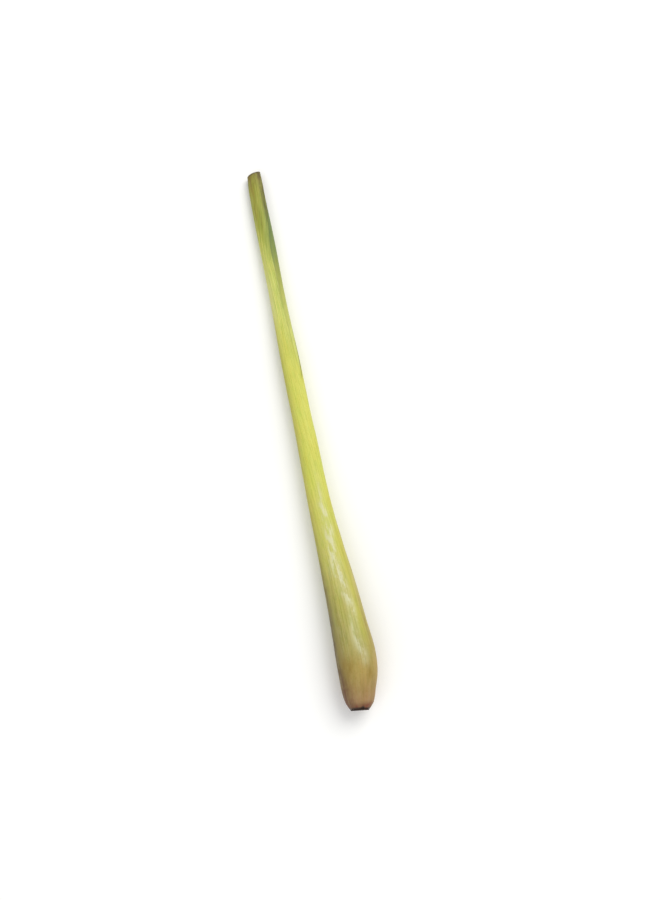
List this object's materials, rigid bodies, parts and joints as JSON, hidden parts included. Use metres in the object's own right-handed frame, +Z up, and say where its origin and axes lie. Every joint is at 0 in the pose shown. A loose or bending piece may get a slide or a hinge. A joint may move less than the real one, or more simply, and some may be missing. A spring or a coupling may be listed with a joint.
{
  "type": "lemongrass stalk",
  "caption": "Trimmed lemongrass stalk with a swollen butt, rolled leaf sheaths and a slanting cut tip, lying on its side.",
  "frame": {"origin": "middle of the bounding box, on the surface that the stalk lies on", "axes": "+X along the stalk from the butt to the tip, +Z up from the surface, +Y to the left looking towards the tip"},
  "size_m": [0.3316, 0.0232, 0.0211],
  "materials": {
    "woody_stem": "dry cut stem, tan with a brown rim",
    "outer_sheath": "yellow-green leaf sheath, finely ribbed, with a soft waxy bloom",
    "inner_sheath": "blue-green leaf sheath, finely ribbed",
    "young_leaf": "pale green rolled leaf, moist on its cut end"
  },
  "bodies": {
    "root": {"stem_base": "woody_stem", "outer_sheath": "outer_sheath", "inner_sheath": "inner_sheath", "rolled_leaves": "young_leaf"}
  },
  "joints": []
}
